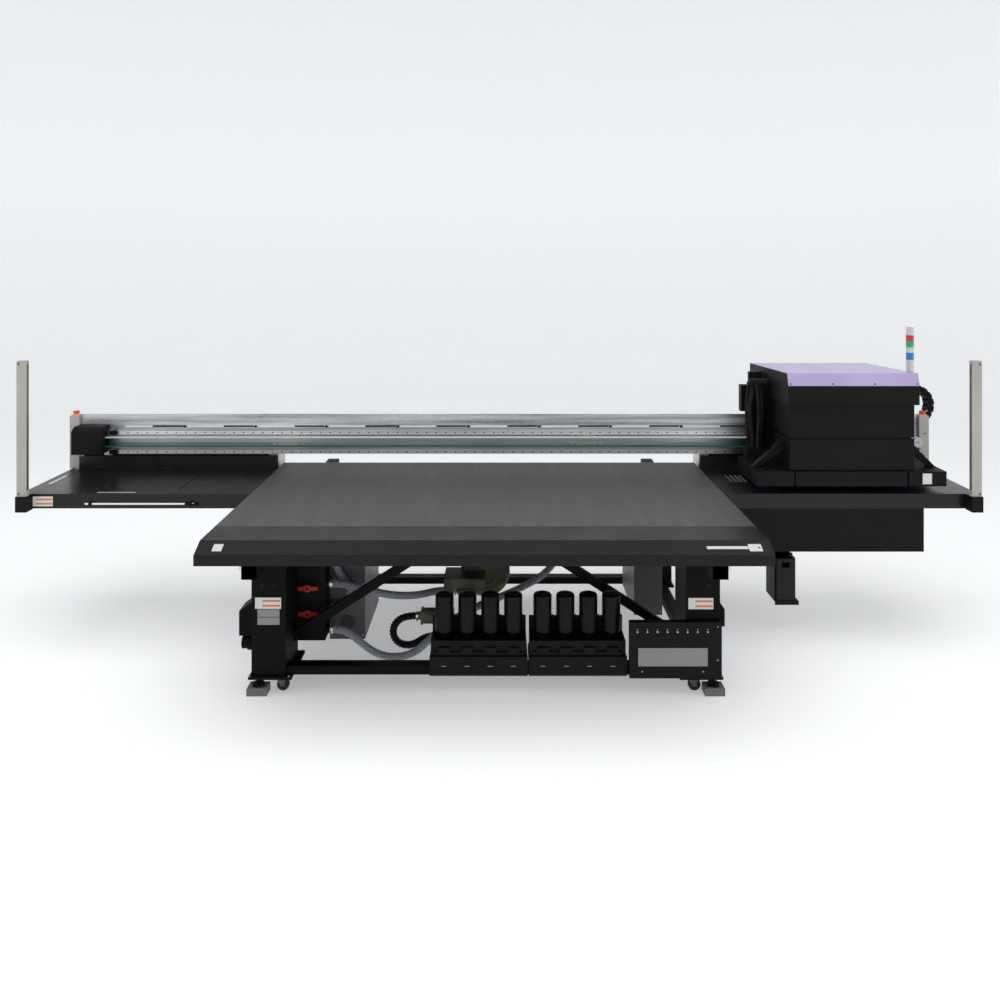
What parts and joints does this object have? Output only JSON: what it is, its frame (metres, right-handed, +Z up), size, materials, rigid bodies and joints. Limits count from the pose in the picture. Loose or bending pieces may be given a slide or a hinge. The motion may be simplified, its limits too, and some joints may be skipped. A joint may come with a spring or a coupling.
{
  "type": "flatbed uv printer",
  "caption": "Flatbed printer: fixed vacuum table, travelling bridge with side wings, sliding print carriage, ink bottles and vacuum hoses below.",
  "frame": {"origin": "middle of the overall box at floor level", "axes": "+X to the carriage's parking end, +Y to the back, +Z up"},
  "size_m": [5.468, 2.25, 1.739],
  "materials": {
    "frame_black": "satin black powder coat",
    "cover_black": "fine textured black paint",
    "wing_black": "satin black paint",
    "table_anodised": "dark hard-anodised, perforated",
    "table_paint": "dark grey paint",
    "light_grey": "light grey paint",
    "lilac": "satin lilac paint",
    "galvanised": "galvanised sheet",
    "guide_steel": "ground steel",
    "beam_aluminium": "anodised extrusion",
    "zinc_steel": "zinc plated",
    "belt_rubber": "toothed belt with a teal edge",
    "pulley_aluminium": "machined",
    "chain_plastic": "moulded nylon",
    "bottle_black": "moulded bottle",
    "rack_black": "satin black paint",
    "hose_grey": "corrugated hose",
    "hose_black": "corrugated hose",
    "blower_olive": "painted casting",
    "cabinet_grey": "grey painted sheet",
    "valve_black": "moulded",
    "lever_red": "moulded",
    "button_red": "moulded",
    "wheel_rubber": "caster tread",
    "tower_plastic": "clear, red, green and blue lenses",
    "cap_rubber": "head caps",
    "tank_black": "blow-moulded can",
    "lamp_metal": "lamp block"
  },
  "bodies": {
    "base": {"base_frame": "frame_black", "floor_pads": "light_grey", "levelling_feet": "zinc_steel", "table_plate": "table_anodised", "table_cover": "table_paint", "vacuum_chamber": "frame_black", "rail_beams": "frame_black", "bridge_guides": "guide_steel", "ink_racks": "rack_black", "ink_panel": "rack_black", "valve_box": "valve_black", "blower": "blower_olive", "cabinets": "cabinet_grey", "leg_boxes": "frame_black", "vacuum_hose_upper": "hose_grey", "vacuum_hose_return": "hose_grey", "vacuum_hose_long": "hose_grey", "blower_hose": "hose_black"},
    "bridge": {"bridge_arms": "frame_black", "beam": "beam_aluminium", "beam_guides": "guide_steel", "chain_trough": "galvanised", "drive_cover": "cover_black", "end_covers": "light_grey", "left_wing": "wing_black", "right_wing": "wing_black", "maintenance_housing": "cover_black", "curtain_brackets": "cover_black", "curtain_posts": "light_grey", "signal_tower": "tower_plastic", "drive_belt": "belt_rubber", "chain_lower": "chain_plastic"},
    "carriage": {"carriage_plate": "cover_black", "chain_upper": "chain_plastic"},
    "print_unit": {"head_frame": "frame_black", "front_cowls": "cover_black", "upper_cowl": "cover_black", "lid_cover": "lilac", "skirt": "cover_black", "uv_lamps": "lamp_metal", "carriage_hoses": "hose_black"},
    "chain_bend": {"chain_bend": "chain_plastic"},
    "drive_pulley": {"drive_pulley": "pulley_aluminium"},
    "idler_pulley": {"idler_pulley": "pulley_aluminium"},
    "stop_button_left": {"stop_button_left": "button_red"},
    "stop_button_right": {"stop_button_right": "button_red"},
    "valve_lever_upper": {"valve_lever_upper": "lever_red"},
    "valve_lever_lower": {"valve_lever_lower": "lever_red"},
    "ink_bottles_left": {"ink_bottles_left": "bottle_black"},
    "ink_bottles_right": {"ink_bottles_right": "bottle_black"},
    "waste_tank": {"waste_tank": "tank_black"},
    "cap_station": {"cap_station": "cap_rubber"},
    "caster_fork_front_left": {"caster_fork_front_left": "zinc_steel"},
    "caster_fork_front_right": {"caster_fork_front_right": "zinc_steel"},
    "caster_fork_rear_left": {"caster_fork_rear_left": "zinc_steel"},
    "caster_fork_rear_right": {"caster_fork_rear_right": "zinc_steel"},
    "caster_wheel_front_left": {"caster_wheel_front_left": "wheel_rubber"},
    "caster_wheel_front_right": {"caster_wheel_front_right": "wheel_rubber"},
    "caster_wheel_rear_left": {"caster_wheel_rear_left": "wheel_rubber"},
    "caster_wheel_rear_right": {"caster_wheel_rear_right": "wheel_rubber"}
  },
  "joints": [
    {"name": "bridge_travel", "type": "slide", "parent": "base", "child": "bridge", "axis": [0, 1, 0], "range_m": [-0.84, 0.46]},
    {"name": "carriage_travel", "type": "slide", "parent": "bridge", "child": "carriage", "axis": [1, 0, 0], "range_m": [-3.8, 0], "deforming": ["chain_lower", "chain_upper"]},
    {"name": "unit_lift", "type": "slide", "parent": "carriage", "child": "print_unit", "axis": [0, 0, 1], "range_m": [-0.02, 0.045]},
    {"name": "chain_roll", "type": "slide", "parent": "carriage", "child": "chain_bend", "axis": [1, 0, 0], "range_m": [0, 1.9]},
    {"name": "drive_pulley_spin", "type": "hinge", "parent": "bridge", "child": "drive_pulley", "pos_m": [-2.584, 0.397, 1.035], "axis": [0, 1, 0], "range_deg": [-7800, 5]},
    {"name": "idler_pulley_spin", "type": "hinge", "parent": "bridge", "child": "idler_pulley", "pos_m": [2.581, 0.397, 1.035], "axis": [0, 1, 0], "range_deg": [-7800, 5]},
    {"name": "stop_press_left", "type": "slide", "parent": "bridge", "child": "stop_button_left", "axis": [0, 0, -1], "range_m": [0, 0.005], "stiffness_N_per_m": 2000},
    {"name": "stop_press_right", "type": "slide", "parent": "bridge", "child": "stop_button_right", "axis": [0, 0, -1], "range_m": [0, 0.005], "stiffness_N_per_m": 2000},
    {"name": "valve_turn_upper", "type": "hinge", "parent": "base", "child": "valve_lever_upper", "pos_m": [-1.048, -0.455, 0.43], "axis": [0, 1, 0], "range_deg": [0, 90]},
    {"name": "valve_turn_lower", "type": "hinge", "parent": "base", "child": "valve_lever_lower", "pos_m": [-1.048, -0.455, 0.294], "axis": [0, 1, 0], "range_deg": [0, 90]},
    {"name": "bottle_lift_left", "type": "slide", "parent": "base", "child": "ink_bottles_left", "axis": [0, 0, 1], "range_m": [0, 0.2]},
    {"name": "bottle_lift_right", "type": "slide", "parent": "base", "child": "ink_bottles_right", "axis": [0, 0, 1], "range_m": [0, 0.2]},
    {"name": "tank_pull", "type": "slide", "parent": "bridge", "child": "waste_tank", "axis": [0, -1, 0], "range_m": [0, 0.2]},
    {"name": "cap_rise", "type": "slide", "parent": "bridge", "child": "cap_station", "axis": [0, 0, 1], "range_m": [0, 0.012]},
    {"name": "caster_swivel_front_left", "type": "hinge", "parent": "base", "child": "caster_fork_front_left", "pos_m": [-1.134, -0.675, 0.084], "axis": [0, 0, 1], "continuous": true},
    {"name": "caster_roll_front_left", "type": "hinge", "parent": "caster_fork_front_left", "child": "caster_wheel_front_left", "pos_m": [-1.12, -0.675, 0.034], "axis": [0, 1, 0], "continuous": true},
    {"name": "caster_swivel_front_right", "type": "hinge", "parent": "base", "child": "caster_fork_front_right", "pos_m": [0.938, -0.675, 0.084], "axis": [0, 0, 1], "continuous": true},
    {"name": "caster_roll_front_right", "type": "hinge", "parent": "caster_fork_front_right", "child": "caster_wheel_front_right", "pos_m": [0.952, -0.675, 0.034], "axis": [0, 1, 0], "continuous": true},
    {"name": "caster_swivel_rear_left", "type": "hinge", "parent": "base", "child": "caster_fork_rear_left", "pos_m": [-1.134, 0.734, 0.084], "axis": [0, 0, 1], "continuous": true},
    {"name": "caster_roll_rear_left", "type": "hinge", "parent": "caster_fork_rear_left", "child": "caster_wheel_rear_left", "pos_m": [-1.12, 0.734, 0.034], "axis": [0, 1, 0], "continuous": true},
    {"name": "caster_swivel_rear_right", "type": "hinge", "parent": "base", "child": "caster_fork_rear_right", "pos_m": [0.938, 0.734, 0.084], "axis": [0, 0, 1], "continuous": true},
    {"name": "caster_roll_rear_right", "type": "hinge", "parent": "caster_fork_rear_right", "child": "caster_wheel_rear_right", "pos_m": [0.952, 0.734, 0.034], "axis": [0, 1, 0], "continuous": true}
  ],
  "couplings": [
    {"joint": "chain_roll", "follows": "carriage_travel", "ratio": -0.5},
    {"joint": "drive_pulley_spin", "follows": "carriage_travel", "rad_per_m": 35.651},
    {"joint": "idler_pulley_spin", "follows": "carriage_travel", "rad_per_m": 35.651}
  ]
}
